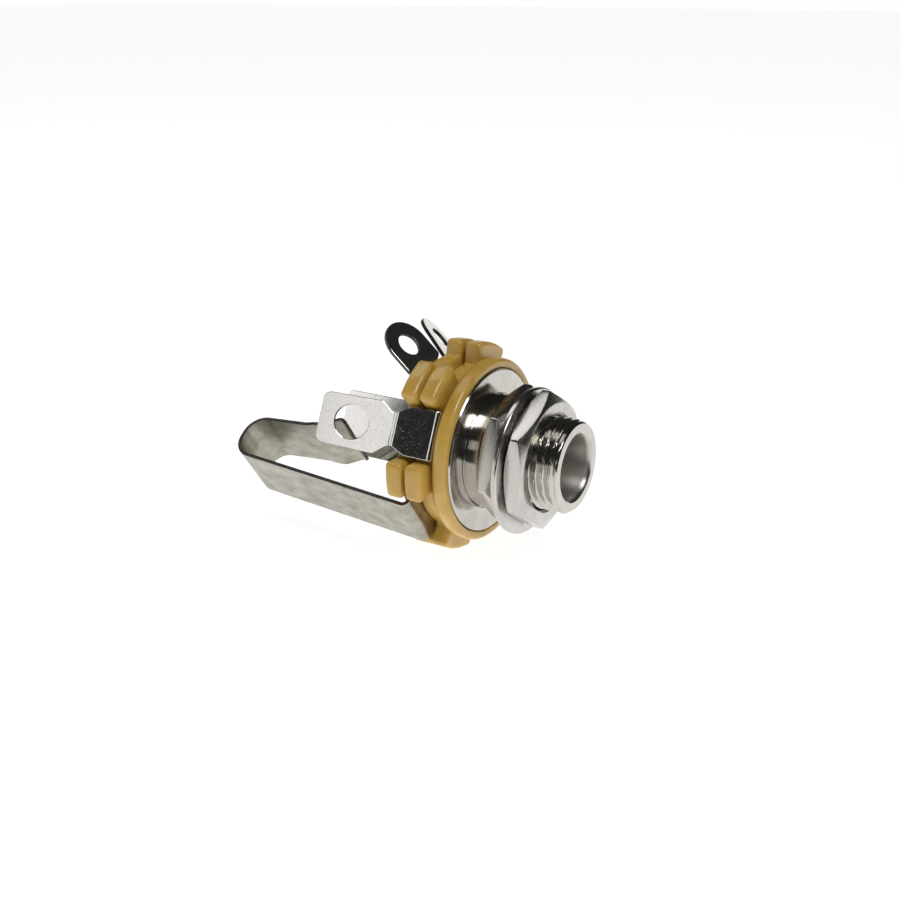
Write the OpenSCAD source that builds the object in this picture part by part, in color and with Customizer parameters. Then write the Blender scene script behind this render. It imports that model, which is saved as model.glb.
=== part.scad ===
// Panel jack for a quarter inch plug: a threaded bushing that carries a stack of
// insulators and contact leaves. The plug's axis is X and the plug goes in from +X.
// The front face of the bushing's flange is the plane x = 0.

/* [Bushing] */
// Outside diameter of the threaded barrel
barrel_d = 9.5; // [9.2:0.1:10]
// Length of the barrel in front of the flange
barrel_len = 9.5; // [8.5:0.1:14]
// Bore that guides the plug
bore_d = 6.5; // [6.4:0.05:6.8]
// Width of the countersink at the plug entry
mouth_d = 7.2; // [6.9:0.1:8]
// Chamfer on the barrel's front edge
barrel_chamfer = 0.3; // [0.1:0.05:0.5]
// Thickness of the flange
flange_t = 1; // [0.6:0.1:2]
// Diameter of the plain hub between the flange and the rear nut
hub_d = 11.8; // [10.5:0.1:13]
// Length of the hub
hub_len = 1.6; // [0.8:0.1:2.5]
// Outside diameter of the tube that passes through the insulators
neck_d = 8.4; // [7.6:0.1:9.4]
// Diameter of the tube's flared rear end
flare_d = 10.8; // [9.8:0.1:12]
// Thickness of the flare
flare_t = 0.5; // [0.3:0.1:1]

/* [Nuts and washer] */
// Nut size across its flats
nut_af = 12.7; // [12:0.1:14]
// Thickness of each nut
nut_t = 2.2; // [1.6:0.1:3]
// Turn of the rear nut about the barrel, in degrees
rear_nut_angle = 43; // [0:1:59]
// Turn of the front nut about the barrel, in degrees
front_nut_angle = 57; // [0:1:59]
// Outside diameter of the flat washer
washer_d = 15.7; // [14:0.1:18]
// Thickness of the flat washer
washer_t = 0.65; // [0.4:0.05:1.2]
// Gap between faces that turn or slide on each other
face_gap = 0.05; // [0.03:0.01:0.1]
// Radial gap between the barrel and what turns on it
thread_gap = 0.1; // [0.06:0.01:0.15]

/* [Insulators] */
// Outside diameter of the front ring, which the flange and the stack behind it follow
ring_d = 19; // [17:0.1:21]
// Width of the ring's rim around the flange
rim_w = 0.95; // [0.7:0.05:1.4]
// Thickness of the ring's floor behind the flange
ring_floor = 0.7; // [0.5:0.1:1.5]
// How far the ring's rim stays behind the flange face
rim_back = 0.1; // [0:0.05:0.4]
// Radius of the ring's rounded edges
rim_round = 0.6; // [0.2:0.05:0.7]
// Gap between a finger and the floor of its notch in a wafer
notch_gap = 0.35; // [0.3:0.05:0.5]
// Thickness of a wafer
wafer_t = 1.8; // [1.4:0.1:2.6]
// Diameter over a wafer's lobes
lobe_d = 21.8; // [20:0.1:24]
// Axial thickness of a lobe
lobe_t = 1.55; // [1.2:0.05:1.8]
// Radius of a lobe's rounded edges
lobe_round = 0.45; // [0.2:0.05:0.55]
// Wall of the rear wafer's spigot
spigot_wall = 1.2; // [0.8:0.1:1.6]
// Radial gap between pieces that slip over one another
slip = 0.05; // [0.03:0.01:0.1]

/* [Contact sheet] */
// Thickness of the contact sheet metal
sheet_t = 0.4; // [0.3:0.05:0.6]
// Inset of the clamped contact rings from the floor of the notches
contact_inset = 0.8; // [0.5:0.1:1.2]
// Radius of the middle line at a sharp bend
bend_r = 0.6; // [0.4:0.05:0.8]
// Cut across a leaf where it flexes
flex_gap = 0.08; // [0.06:0.01:0.12]
// Turn of the near finger from straight up, in degrees
index_angle = 66; // [60:1:72]

/* [Tip spring] */
// Width of the tip spring's strip
tip_w = 6.6; // [5:0.1:6.8]
// Distance of the outer leg from the axis at its root
tip_root_r = 10.25; // [9.8:0.05:10.6]
// Distance of the outer leg from the axis at the return bend
tip_bend_out = 8.65; // [8.2:0.05:9.4]
// Distance of the inner leg from the axis at the return bend
tip_bend_in = 4.1; // [3.8:0.05:4.5]
// Reach of the tip spring behind the stack
tip_reach = 21.2; // [19:0.1:24]
// Length of the inner leg from the return bend to the nose
tip_return = 8.6; // [7.5:0.1:9]
// Width of the spring's head at the nose
tip_head_w = 7.2; // [6:0.1:7.4]
// Distance of the nose from the axis
nose_r = 2.2; // [2:0.05:2.6]
// Drop of the nose below its leg
nose_drop = 1.15; // [0.9:0.05:1.3]
// Length of the slope down to the nose
nose_len = 1.8; // [1.5:0.1:2.2]
// Length of the lip past the nose
lip_len = 0.65; // [0.5:0.05:0.9]
// Lean of the lip, in degrees
lip_angle = 22; // [15:1:30]

/* [Sleeve fingers] */
// Inset of a finger's straight run from the edge of the front ring
run_inset = 0.35; // [0.25:0.05:0.45]
// Width of a finger where it leaves the stack
run_w = 4.8; // [3.6:0.1:4.9]
// Width of a finger's neck
neck_w = 3.4; // [2.6:0.1:3.5]
// Distance of a finger's contact ridge from the axis
ridge_r = 3.2; // [3.15:0.05:3.5]
// Distance from the stack's rear face to the contact ridge
ridge_back = 3.2; // [2.8:0.1:4]
// Length of the near finger behind its ridge
near_len = 9.3; // [8:0.1:10]
// Outward lean of the near finger's head, in degrees
near_lean = 21; // [20:0.5:24]
// Width of the near finger's head
near_w = 6; // [5:0.1:6.6]
// Hole in the near finger's head
near_hole_d = 3.7; // [2:0.1:4]
// Distance from the near finger's ridge to its hole
near_hole_back = 5.4; // [5:0.1:5.8]
// Cut at the free corners of a finger
finger_corner = 0.6; // [0.3:0.1:1]
// Length of the far finger behind its ridge
far_len = 12.2; // [9:0.1:13]
// Outward lean of the far finger's blade, in degrees
far_lean = 3; // [1:0.5:8]
// Width of the far finger's blade
far_w = 6.7; // [5:0.1:7]

/* [Solder lugs] */
// Width of a solder lug
lug_w = 5.5; // [4.4:0.1:5.6]
// Lug hole for the wire
lug_hole_d = 2.5; // [1.6:0.1:3]
// Width of the tip lug where it passes the rear wafer
lug_neck_w = 3; // [2.4:0.1:3.2]
// Width of the ring that carries the sleeve lug, past the flare
lug_ring_w = 1; // [0.7:0.1:1.5]
// Gap around the tip lug in its slot through the rear wafer
lug_slot_gap = 0.12; // [0.1:0.01:0.2]
// Wall of the rear wafer outside that slot
lug_bridge = 1.03; // [0.8:0.05:1.3]
// Run of the tip lug behind the stack, before its bend
tip_lug_run = 0.95; // [0.8:0.05:1.5]
// Slope from the tip lug's neck out to its full width, along the lug
lug_shoulder = 0.75; // [0.5:0.05:1]
// Length of the tip lug from its bend to its hole
tip_lug_len = 3.3; // [3:0.1:4.5]
// Rise of the sleeve lug past its ring, before its bend
sleeve_lug_rise = 1.3; // [1:0.1:1.6]
// Length of the sleeve lug from its bend to its hole
sleeve_lug_len = 4.5; // [4:0.1:5.5]
// Lean of the tip lug back from upright, in degrees
tip_lug_lean = 45; // [40:1:50]
// Lean of the sleeve lug back from upright, in degrees
sleeve_lug_lean = 50; // [46:1:54]
// Turn of the tip lug from straight up, in degrees
tip_lug_angle = 8; // [6:1:10]
// Turn of the sleeve lug from straight up, in degrees
sleeve_lug_angle = -29; // [-34:1:-28]

/* [Hidden] */
$fn = 96;

// Colours of the finishes
plate = "#c9c7c2";
spring_metal = "#a9a598";
amber = "#b98a35";

// The stack, from the flange backwards
ring_back = -flange_t - ring_floor;
sleeve_x = ring_back - sheet_t / 2;
front_wafer_x = ring_back - sheet_t;
tip_x = front_wafer_x - wafer_t - sheet_t / 2;
rear_wafer_x = tip_x - sheet_t / 2;
stack_back = rear_wafer_x - wafer_t;
lug_x = stack_back - sheet_t / 2;
flare_back = stack_back - sheet_t - flare_t;

// The fittings on the barrel, from the hub forwards
rear_nut_x = hub_len + face_gap;
washer_x = rear_nut_x + nut_t + face_gap;
front_nut_x = washer_x + washer_t + face_gap;

// Angles of what comes out of the stack
near_angle = index_angle;
tip_angle = index_angle + 60;
far_angle = index_angle + 180;
// First edge and width of each lobe on one half of a wafer, from the near finger's turn
lobe_angles = [[-46, 30], [17.5, 22.5], [79, 32]];
// How far the rear wafer's bridge reaches into the lobes beside it, in degrees, and how far its
// faces stay behind theirs
bridge_lap = 5;
bridge_inset = 0.1;

// Run of a finger's root behind its bend, and of a finger behind the stack before its jog
root_run = 0.1;
jog_back = 0.65;
// Taper of a finger down to its neck, and of a blade out to its full width
neck_taper = 1.6;
head_taper = 1.2;
// Chamfer on the corners of a nut, in degrees
nut_chamfer = 30;

// Radii of the flange, the fingers' runs, the wafers and the clamped rings, from the front ring
flange_r = ring_d / 2 - rim_w - slip;
run_r = ring_d / 2 - run_inset;
wafer_r = run_r - sheet_t / 2 - notch_gap;
contact_r = wafer_r - contact_inset;

// Distance of the tip lug's run from the axis, and the edge of the rear wafer's bridge over it
lug_r = contact_r + sheet_t / 4;
bridge_r = lug_r + sheet_t / 2 + lug_slot_gap + lug_bridge;

// The tube's hole and the insulating spigot, and the places of the bends
hole_r = neck_d / 2 + slip;
spigot_r = neck_d / 2 + spigot_wall;
u_bend_r = (tip_bend_out - tip_bend_in) / 2;
u_bend_x = stack_back - tip_reach + u_bend_r;
u_bend_mid = (tip_bend_out + tip_bend_in) / 2;
nose_x = u_bend_x + tip_return;
finger_root_x = sleeve_x - bend_r - root_run;
jog_x = stack_back - jog_back;
ridge_x = stack_back - ridge_back;
soft_bend_r = 0.8;
tight_bend_r = 0.75 * sheet_t;
arc_steps = 8;
// The corners of the return bend are a little tighter than half its height, because its legs slope
u_corner_r = 0.95 * u_bend_r;
// How far pieces of one solid reach into each other, and cutters past what they cut
overlap = 1;

// Unit vector at an angle, and the angle of the line from p to q
function dir(a) = [cos(a), sin(a)];
function heading(p, q) = atan2(q[1] - p[1], q[0] - p[0]);
// Turn between two headings, from -180 to 180 degrees
function turn(a, b) = (b - a + 540) % 360 - 180;

// A line through points with its corners rounded: a list of points, each with its heading
function bent_line(p, r) = [
    [p[0], heading(p[0], p[1])],
    for (i = [1 : len(p) - 2])
        let (a = heading(p[i - 1], p[i]),
             t = turn(a, heading(p[i], p[i + 1])),
             side = sign(t) * r[i - 1] * dir(a + 90),
             centre = p[i] - r[i - 1] * tan(abs(t) / 2) * dir(a) + side)
        for (k = [0 : arc_steps])
            let (h = a + t * k / arc_steps)
            [centre - sign(t) * r[i - 1] * dir(h + 90), h],
    [p[len(p) - 1], heading(p[len(p) - 2], p[len(p) - 1])]
];

// The outline of a sheet of thickness t along such a line
function sheet_outline(line, t) = concat(
    [for (q = line) q[0] + t / 2 * dir(q[1] + 90)],
    [for (i = [len(line) - 1 : -1 : 0]) line[i][0] - t / 2 * dir(line[i][1] + 90)]
);

// Half of a blade's outline, as [x, half width] pairs, closed over its middle line
function mirrored(half) = concat(half, [for (i = [len(half) - 1 : -1 : 0]) [half[i][0], -half[i][1]]]);

// Puts a profile of [radius, x] around the plug's axis
module around_axis(from = 0, angle = 360) {
    rotate([0, 90, 0])
        rotate([0, 0, from + 180])
            rotate_extrude(angle = angle)
                children();
}

// Turns something made above the axis about it
module at_turn(a) {
    rotate([a, 0, 0])
        children();
}

// A bent strip above the axis: points of [x, radius], bend radii and a width
module strip(p, r, w) {
    rotate([90, 0, 0])
        linear_extrude(height = w, center = true)
            polygon(sheet_outline(bent_line(p, r), sheet_t));
}

// A flat blade outline above the axis, to cut a strip to its width
module blade_cutter(half) {
    linear_extrude(height = lobe_d)
        polygon(mirrored(half));
}

// A tube around the axis from x0 to x1
module collar(r_out, r_in, x0, x1) {
    around_axis()
        translate([r_in, x0])
            square([r_out - r_in, x1 - x0]);
}

// A rectangle whose two outer corners are round
module round_edge(r0, r1, x0, x1, c) {
    intersection() {
        translate([r0, x0])
            square([r1 - r0, x1 - x0]);
        union() {
            translate([r0, x0])
                square([r1 - c - r0, x1 - x0]);
            translate([r0, x0 + c])
                square([r1 - r0, x1 - x0 - 2 * c]);
            for (x = [x0 + c, x1 - c])
                translate([r1 - c, x])
                    circle(c);
        }
    }
}

// A lug's leaning part in its own plane, as a cutter: straight sides from the base, a round end and the hole
module lug_cutter(bend, lean, along, base) {
    translate([bend[0] - along * sin(lean), 0, bend[1] + along * cos(lean)])
        rotate([0, 90 - lean, 0])
            linear_extrude(height = lug_w, center = true)
                difference() {
                    union() {
                        circle(d = lug_w);
                        translate([0, -lug_w / 2])
                            square([along - base, lug_w]);
                    }
                    circle(d = lug_hole_d);
                }
}

// A strip that ends in a lug: its points before the bend, the bend, and from there the lug's lean
// and the distances to its hole and to its full width
module lug_strip(before, bend, lean, along, base, radii, root) {
    past = along + lug_w;
    intersection() {
        strip(concat(before, [bend, bend + past * [-sin(lean), cos(lean)]]), radii, 2 * lug_w);
        union() {
            blade_cutter(root);
            lug_cutter(bend, lean, along, base);
        }
    }
}

module hex_nut(x, corner_turn) {
    corner_r = nut_af / sqrt(3);
    chamfer = (corner_r - nut_af / 2) * tan(nut_chamfer);
    difference() {
        intersection() {
            translate([x, 0, 0])
                at_turn(corner_turn)
                    rotate([0, 90, 0])
                        cylinder(r = corner_r, h = nut_t, $fn = 6);
            around_axis()
                translate([0, x])
                    polygon([[0, 0], [nut_af / 2, 0], [corner_r + slip, chamfer],
                             [corner_r + slip, nut_t - chamfer], [nut_af / 2, nut_t], [0, nut_t]]);
        }
        translate([x - overlap, 0, 0])
            rotate([0, 90, 0])
                cylinder(d = barrel_d + 2 * thread_gap, h = nut_t + 2 * overlap);
    }
}

module bushing() {
    color(plate)
        around_axis()
            polygon([
                [bore_d / 2, flare_back],
                [flare_d / 2, flare_back],
                [flare_d / 2, flare_back + flare_t],
                [neck_d / 2, flare_back + flare_t],
                [neck_d / 2, -flange_t],
                [flange_r, -flange_t],
                [flange_r, 0],
                [hub_d / 2, 0],
                [hub_d / 2, hub_len],
                [barrel_d / 2, hub_len],
                [barrel_d / 2, barrel_len - barrel_chamfer],
                [barrel_d / 2 - barrel_chamfer, barrel_len],
                [mouth_d / 2, barrel_len],
                [bore_d / 2, barrel_len - (mouth_d - bore_d) / 2]
            ]);
}

module rear_nut() {
    color(plate)
        hex_nut(rear_nut_x, rear_nut_angle);
}

module flat_washer() {
    color(plate)
        collar(washer_d / 2, barrel_d / 2 + 2 * thread_gap, washer_x, washer_x + washer_t);
}

module front_nut() {
    color(plate)
        hex_nut(front_nut_x, front_nut_angle);
}

// A ring with a pocket for the flange and a rounded rim
module front_insulator() {
    color(amber)
        around_axis() {
            translate([hole_r, ring_back])
                square([flange_r + slip - hole_r, ring_floor]);
            round_edge(flange_r + slip, ring_d / 2, ring_back, -rim_back, rim_round);
        }
}

// A disc with lobes, and notches between them for the contacts
module wafer(x) {
    collar(wafer_r, hole_r, x - wafer_t, x);
    for (half = [0, 180])
        for (lobe = lobe_angles)
            around_axis(from = index_angle + half + lobe[0], angle = lobe[1])
                round_edge(wafer_r - overlap, lobe_d / 2, x - lobe_t, x, lobe_round);
}

module front_wafer() {
    color(amber)
        wafer(front_wafer_x);
}

// The rear wafer has a spigot that keeps the tip terminal off the bushing's tube, and a slot for the
// tip lug with a bridge over it, between the last lobe and the first
module rear_wafer() {
    last_edge = lobe_angles[2][0] + lobe_angles[2][1];
    slot = [wafer_t + 2 * overlap, lug_neck_w + 2 * lug_slot_gap, sheet_t + 2 * lug_slot_gap];
    color(amber)
        difference() {
            union() {
                wafer(rear_wafer_x);
                collar(spigot_r, hole_r, rear_wafer_x - wafer_t, rear_wafer_x + sheet_t);
                around_axis(from = index_angle + 180 + last_edge - bridge_lap,
                            angle = 180 + lobe_angles[0][0] - last_edge + 2 * bridge_lap)
                    round_edge(wafer_r - overlap, bridge_r, rear_wafer_x - lobe_t + bridge_inset,
                               rear_wafer_x - bridge_inset, lobe_round);
            }
            at_turn(tip_lug_angle)
                translate([rear_wafer_x - wafer_t / 2, 0, lug_r])
                    cube(slot, center = true);
        }
}

// The clamped ring of the sleeve contact, with the roots of its two fingers
module sleeve_contact() {
    color(plate) {
        collar(contact_r, hole_r, sleeve_x - sheet_t / 2, sleeve_x + sheet_t / 2);
        for (a = [near_angle, far_angle])
            at_turn(a)
                strip([[sleeve_x, contact_r - overlap], [sleeve_x, run_r], [finger_root_x, run_r]],
                      [bend_r], run_w);
    }
}

// A finger: a run over the wafers, a jog inward to the ridge and a blade that leans outward
module finger(lean, blade_len, half) {
    intersection() {
        strip([[finger_root_x - flex_gap, run_r], [jog_x, run_r], [ridge_x, ridge_r],
               [ridge_x - blade_len * cos(lean), ridge_r + blade_len * sin(lean)]],
              [soft_bend_r, soft_bend_r], lobe_d);
        blade_cutter(half);
    }
}

// The free end of a blade's outline, with its corners cut
function blade_end(end_x, w) = [
    [end_x + finger_corner, w / 2],
    [end_x - overlap, w / 2 - finger_corner - overlap]
];

module near_finger() {
    end_x = ridge_x - near_len * cos(near_lean);
    neck_end = ridge_x - overlap;
    color(plate)
        at_turn(near_angle)
            difference() {
                finger(near_lean, near_len, concat([
                    [finger_root_x, run_w / 2],
                    [jog_x + sheet_t + neck_taper, run_w / 2],
                    [jog_x + sheet_t, neck_w / 2],
                    [neck_end, neck_w / 2],
                    [neck_end - head_taper, near_w / 2]
                ], blade_end(end_x, near_w)));
                translate([ridge_x, 0, ridge_r])
                    rotate([0, near_lean, 0])
                        translate([-near_hole_back, 0, 0])
                            cylinder(d = near_hole_d, h = near_w, center = true);
            }
}

module far_finger() {
    end_x = ridge_x - far_len * cos(far_lean);
    color(plate)
        at_turn(far_angle)
            finger(far_lean, far_len, concat([
                [finger_root_x, run_w / 2],
                [jog_x + sheet_t, run_w / 2],
                [ridge_x - finger_corner, far_w / 2]
            ], blade_end(end_x, far_w)));
}

// The tip terminal: a clamped ring with a solder lug and the outer leg of the tip spring
module tip_terminal() {
    bend = [stack_back - tip_lug_run, lug_r];
    full_x = bend[0] - lug_shoulder * sin(tip_lug_lean);
    color(spring_metal) {
        collar(contact_r, spigot_r + slip, tip_x - sheet_t / 2, tip_x + sheet_t / 2);
        at_turn(tip_angle)
            strip([[tip_x, contact_r - overlap], [tip_x, tip_root_r], [u_bend_x - u_bend_r, tip_bend_out],
                   [u_bend_x - u_bend_r, u_bend_mid]], [bend_r, u_corner_r], tip_w);
        at_turn(tip_lug_angle)
            lug_strip([[tip_x, contact_r - overlap], [tip_x, lug_r]], bend, tip_lug_lean, tip_lug_len,
                      lug_shoulder, [tight_bend_r, soft_bend_r],
                      [[tip_x + overlap, lug_neck_w / 2], [bend[0], lug_neck_w / 2],
                       [full_x, lug_w / 2], [full_x - sheet_t, lug_w / 2]]);
    }
}

// The inner leg of the tip spring: half of the return bend, the leg, the nose and a lip
module tip_spring() {
    nose = [nose_x, nose_r];
    slope_x = nose_x - nose_len;
    color(spring_metal)
        at_turn(tip_angle)
            intersection() {
                strip([[u_bend_x - u_bend_r, u_bend_mid - flex_gap], [u_bend_x - u_bend_r, tip_bend_in],
                       [slope_x, nose_r + nose_drop], nose, nose + lip_len * dir(lip_angle)],
                      [u_corner_r, soft_bend_r, bend_r], lobe_d);
                blade_cutter([
                    [u_bend_x - 2 * u_bend_r, tip_w / 2],
                    [slope_x - overlap - head_taper, tip_w / 2],
                    [slope_x - overlap, tip_head_w / 2],
                    [nose_x + lip_len + overlap, tip_head_w / 2]
                ]);
            }
}

// The ground lug, clamped by the flared end of the tube
module sleeve_lug() {
    ring_r = flare_d / 2 + lug_ring_w;
    bend = [lug_x, ring_r + sleeve_lug_rise];
    // Narrower than the lug, so that the lug's shoulders show past its root
    root_w = lug_w - 2 * sheet_t;
    color(plate) {
        collar(ring_r, hole_r, lug_x - sheet_t / 2, lug_x + sheet_t / 2);
        at_turn(sleeve_lug_angle)
            lug_strip([[lug_x, ring_r - overlap]], bend, sleeve_lug_lean, sleeve_lug_len, -bend_r, [bend_r],
                      [[lug_x + overlap, root_w / 2], [lug_x - overlap, root_w / 2]]);
    }
}

bushing();
rear_nut();
flat_washer();
front_nut();
front_insulator();
sleeve_contact();
near_finger();
far_finger();
front_wafer();
tip_terminal();
tip_spring();
rear_wafer();
sleeve_lug();
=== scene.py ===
# %% [markdown]
# A panel jack for a quarter inch plug, dressed over its measured solids. The solids give every
# place and size, so this lesson is about form and finish: turned metal, bent spring sheet and
# moulded plastic.

import math

import bmesh
import bpy
import numpy as np
from mathutils import Matrix, Vector


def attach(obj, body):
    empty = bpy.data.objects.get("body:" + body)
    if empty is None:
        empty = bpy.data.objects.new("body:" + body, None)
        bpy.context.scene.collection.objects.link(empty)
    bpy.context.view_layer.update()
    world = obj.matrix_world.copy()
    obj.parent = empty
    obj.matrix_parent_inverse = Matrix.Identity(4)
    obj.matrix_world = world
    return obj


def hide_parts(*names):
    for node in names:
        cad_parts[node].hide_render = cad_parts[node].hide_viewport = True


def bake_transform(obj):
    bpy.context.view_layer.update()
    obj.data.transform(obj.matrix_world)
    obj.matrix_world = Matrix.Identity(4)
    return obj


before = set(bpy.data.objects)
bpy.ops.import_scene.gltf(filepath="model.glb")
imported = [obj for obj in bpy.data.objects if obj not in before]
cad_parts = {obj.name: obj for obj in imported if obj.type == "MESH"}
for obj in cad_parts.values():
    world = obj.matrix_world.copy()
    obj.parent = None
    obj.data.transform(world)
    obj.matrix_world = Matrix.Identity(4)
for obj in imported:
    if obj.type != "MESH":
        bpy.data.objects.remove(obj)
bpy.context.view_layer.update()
MM = 0.001
print("solids:", sorted(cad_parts))

# %% [markdown]
# The camera comes first, because every later choice is judged through it. It could be aimed with a
# constraint. But its place was fitted to the round edges of the jack in the photograph, so its
# axes and its place are simply written down: a lens of about 50 mm, 13 cm away, from the right
# and a little above.

# %% Camera
VIEW_RIGHT = Vector((0.8517, 0.5240, 0.0))
VIEW_UP = Vector((-0.1818, 0.2955, 0.9379))
VIEW_BACK = Vector((0.4915, -0.7989, 0.3469))
EYE = Vector((0.05975, -0.1056, 0.04487))
LENS, SENSOR = 50.36, 36.0

camera_data = bpy.data.cameras.new("camera")
camera_data.lens = LENS
camera_data.sensor_width = SENSOR
camera_data.clip_start = 0.005
camera = bpy.data.objects.new("camera", camera_data)
bpy.context.scene.collection.objects.link(camera)
facing = Matrix((VIEW_RIGHT, VIEW_UP, VIEW_BACK)).transposed().to_4x4()
camera.matrix_world = Matrix.Translation(EYE) @ facing
bpy.context.scene.camera = camera
print("camera at", [round(v, 4) for v in EYE])

# %% [markdown]
# Every finish is a small node tree. These helpers add a node, join it to others and keep the
# recipes below short. Noise rarely reaches 0 or 1, so it is stretched between the two values where
# most of it lies. A number that is the same all over a surface is set on the shader itself.

# %% Helpers for finishes
NOISE_LOW, NOISE_HIGH = 0.3, 0.7


def start_finish(name, metallic, color, roughness):
    material = bpy.data.materials.new(name)
    material.use_nodes = True
    shader = material.node_tree.nodes["Principled BSDF"]
    shader.inputs["Metallic"].default_value = metallic
    shader.inputs["Base Color"].default_value = (*color, 1)
    shader.inputs["Roughness"].default_value = roughness
    return material, material.node_tree, shader


def add(tree, kind, links=(), **values):
    node = tree.nodes.new(kind)
    for key, value in values.items():
        setattr(node, key, value)
    for socket, source in dict(links).items():
        if isinstance(source, bpy.types.NodeSocket):
            tree.links.new(source, node.inputs[socket])
        else:
            node.inputs[socket].default_value = source
    return node


def object_place(tree):
    return add(tree, "ShaderNodeTexCoord").outputs["Object"]


def stretched(tree, source, scale):
    return add(tree, "ShaderNodeMapping", {"Vector": source, "Scale": scale}).outputs[0]


def cloud(tree, vector, detail=3.0, rough=0.55):
    return add(tree, "ShaderNodeTexNoise",
               {"Vector": vector, "Scale": 1.0, "Detail": detail, "Roughness": rough}).outputs["Fac"]


def spread(tree, source, low, high, start=NOISE_LOW, stop=NOISE_HIGH):
    return add(tree, "ShaderNodeMapRange", {"Value": source, "From Min": start, "From Max": stop,
                                            "To Min": low, "To Max": high}).outputs[0]


def tint(tree, source, dark, light):
    ramp = add(tree, "ShaderNodeValToRGB", {"Fac": source})
    ramp.color_ramp.elements[0].position = NOISE_LOW
    ramp.color_ramp.elements[1].position = NOISE_HIGH
    ramp.color_ramp.elements[0].color = (*dark, 1)
    ramp.color_ramp.elements[1].color = (*light, 1)
    return ramp.outputs[0]


def plus(tree, first, second):
    return add(tree, "ShaderNodeMath", {0: first, 1: second}, operation="ADD").outputs[0]


def relief(tree, shader, height, depth):
    bump = add(tree, "ShaderNodeBump", {"Height": height, "Distance": depth, "Strength": 1.0})
    tree.links.new(bump.outputs[0], shader.inputs["Normal"])


print("finish helpers ready")

# %% [markdown]
# The bushing is turned on a lathe and plated with nickel. A tool leaves rings around the axis. They
# could be painted, but a rule stays sharp at any distance: the pattern depends only on the distance
# from the axis and the place along it. The rings stretch a highlight across themselves, which the
# shader's anisotropy gives. The bore is duller, so the roughness rises inside it.

# %% Turned nickel
DULL_BORE, BORE_EDGE, SKIN_EDGE = 0.28, 0.0033, 0.0036


def grain_around_axis(tree, shader):
    shader.inputs["Anisotropic"].default_value = 0.6
    shader.inputs["Anisotropic Rotation"].default_value = 0.25
    tangent = add(tree, "ShaderNodeTangent", direction_type="RADIAL", axis="X")
    tree.links.new(tangent.outputs[0], shader.inputs["Tangent"])


def make_turned_nickel():
    material, tree, shader = start_finish("turned_nickel", 1.0, (0.55, 0.525, 0.485), 0.16)
    part = add(tree, "ShaderNodeSeparateXYZ", {"Vector": object_place(tree)})
    flat = add(tree, "ShaderNodeCombineXYZ", {"X": 0.0, "Y": part.outputs["Y"], "Z": part.outputs["Z"]})
    radius = add(tree, "ShaderNodeVectorMath", {0: flat.outputs[0]}, operation="LENGTH").outputs["Value"]
    ring = add(tree, "ShaderNodeCombineXYZ", {"X": part.outputs["X"], "Y": radius, "Z": 0.0}).outputs[0]
    lines = cloud(tree, stretched(tree, ring, (9000, 9000, 1)), 4.0)
    stain = cloud(tree, stretched(tree, object_place(tree), (420, 420, 420)))
    outer = spread(tree, lines, 0.10, 0.20)
    bore = spread(tree, radius, DULL_BORE, 0.0, BORE_EDGE, SKIN_EDGE)
    color = tint(tree, stain, (0.50, 0.475, 0.435), (0.60, 0.58, 0.545))
    tree.links.new(plus(tree, outer, bore), shader.inputs["Roughness"])
    tree.links.new(color, shader.inputs["Base Color"])
    relief(tree, shader, lines, 0.000004)
    grain_around_axis(tree, shader)
    return material


turned_nickel = make_turned_nickel()
print("made", turned_nickel.name)

# %% [markdown]
# The nuts are cut from hexagon bar and plated too. Their flats keep fine drawn lines that run
# around the axis. One stretched noise gives such lines without a picture: it is squeezed along the
# axis and drawn out across it.

# %% Drawn nickel for the nuts
def make_drawn_nickel():
    material, tree, shader = start_finish("drawn_nickel", 1.0, (0.56, 0.54, 0.51), 0.24)
    place = object_place(tree)
    lines = cloud(tree, stretched(tree, place, (6500, 450, 450)), 5.0, 0.65)
    pits = cloud(tree, stretched(tree, place, (5200, 5200, 5200)), 2.0)
    color = tint(tree, lines, (0.47, 0.45, 0.42), (0.63, 0.615, 0.59))
    tree.links.new(spread(tree, lines, 0.16, 0.32), shader.inputs["Roughness"])
    tree.links.new(color, shader.inputs["Base Color"])
    relief(tree, shader, plus(tree, lines, pits), 0.000006)
    grain_around_axis(tree, shader)
    return material


drawn_nickel = make_drawn_nickel()
print("made", drawn_nickel.name)

# %% [markdown]
# The sleeve fingers and the lugs are stamped from bright plated sheet: almost a mirror, with a
# slight cloud and the small pits of the plating. Only the deepest part of a fine noise is kept as
# pits, so they stay sparse. Where the sheet was sheared, its edge is rougher and grainy, and its
# near black colour is painted shade.

# %% Bright sheet, and a sheared edge with painted shade
def make_bright_sheet():
    material, tree, shader = start_finish("bright_sheet", 1.0, (0.70, 0.68, 0.66), 0.18)
    place = object_place(tree)
    haze = cloud(tree, stretched(tree, place, (900, 900, 900)))
    pits = cloud(tree, stretched(tree, place, (7500, 7500, 7500)), 2.0, 0.7)
    color = tint(tree, haze, (0.65, 0.63, 0.61), (0.75, 0.735, 0.715))
    tree.links.new(spread(tree, haze, 0.07, 0.13), shader.inputs["Roughness"])
    tree.links.new(color, shader.inputs["Base Color"])
    relief(tree, shader, spread(tree, pits, 0.0, 1.0, 0.66, 0.74), 0.000003)
    return material


def make_dull_and_shaded_edge():
    material, tree, shader = start_finish("dull_and_shaded_edge", 1.0, (0.5, 0.48, 0.45), 0.4)
    grain = cloud(tree, stretched(tree, object_place(tree), (6000, 6000, 6000)), 3.0)
    # The near black of this edge colour is painted shade; the grain and the higher roughness are the real
    # sheared finish.
    color = tint(tree, grain, (0.014, 0.013, 0.012), (0.17, 0.16, 0.15))
    tree.links.new(spread(tree, grain, 0.3, 0.5), shader.inputs["Roughness"])
    tree.links.new(color, shader.inputs["Base Color"])
    relief(tree, shader, grain, 0.000012)
    return material


bright_sheet = make_bright_sheet()
dull_and_shaded_edge = make_dull_and_shaded_edge()
print("made", bright_sheet.name, dull_and_shaded_edge.name)

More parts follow.
